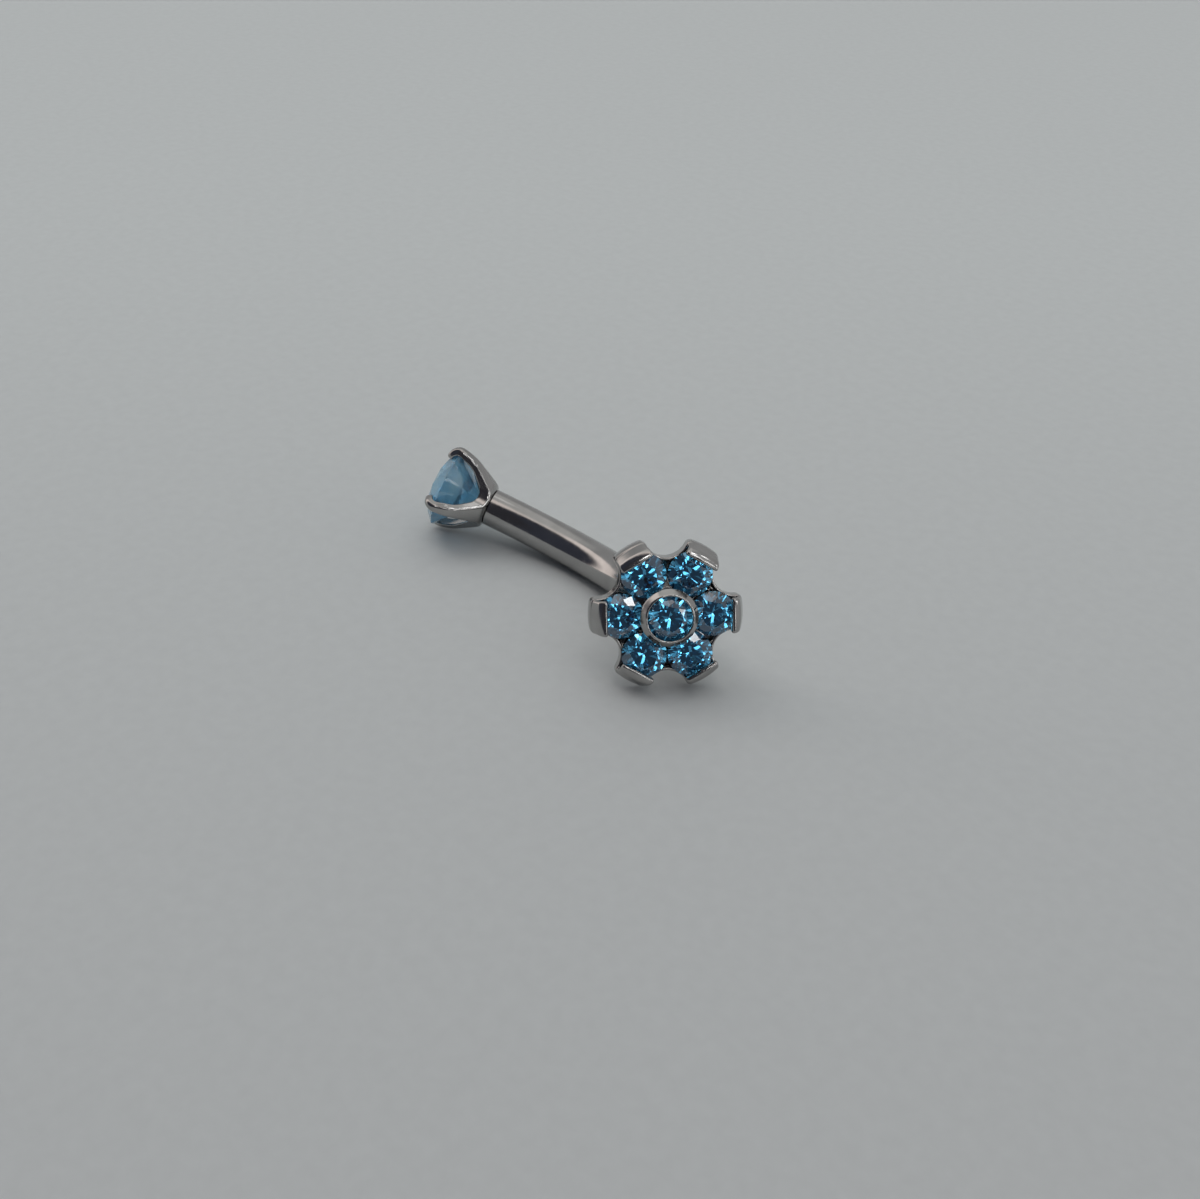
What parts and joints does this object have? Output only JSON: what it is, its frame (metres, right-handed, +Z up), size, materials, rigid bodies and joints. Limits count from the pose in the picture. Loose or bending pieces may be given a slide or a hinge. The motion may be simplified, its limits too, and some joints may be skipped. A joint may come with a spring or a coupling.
{
  "type": "curved barbell",
  "caption": "Curved body-jewellery barbell: bent round bar, claw-set blue flower cluster on one end, round blue stone in curled prongs on the other.",
  "frame": {"origin": "on the surface that the jewel lies on, below the middle of its box", "axes": "+Z up, +X along the bar's chord towards the flower end"},
  "size_m": [0.0166, 0.0054, 0.0053],
  "materials": {
    "titanium": "polished titanium, warm grey",
    "deep_blue_stone": "faceted and polished",
    "light_blue_stone": "faceted and polished"
  },
  "bodies": {
    "root": {"bar": "titanium", "flower_setting": "titanium", "petal_stone_1": "deep_blue_stone", "petal_stone_2": "deep_blue_stone", "petal_stone_3": "deep_blue_stone", "petal_stone_4": "deep_blue_stone", "petal_stone_5": "deep_blue_stone", "petal_stone_6": "deep_blue_stone", "centre_stone": "deep_blue_stone", "gem_setting": "titanium", "gem_stone": "light_blue_stone"}
  },
  "joints": []
}
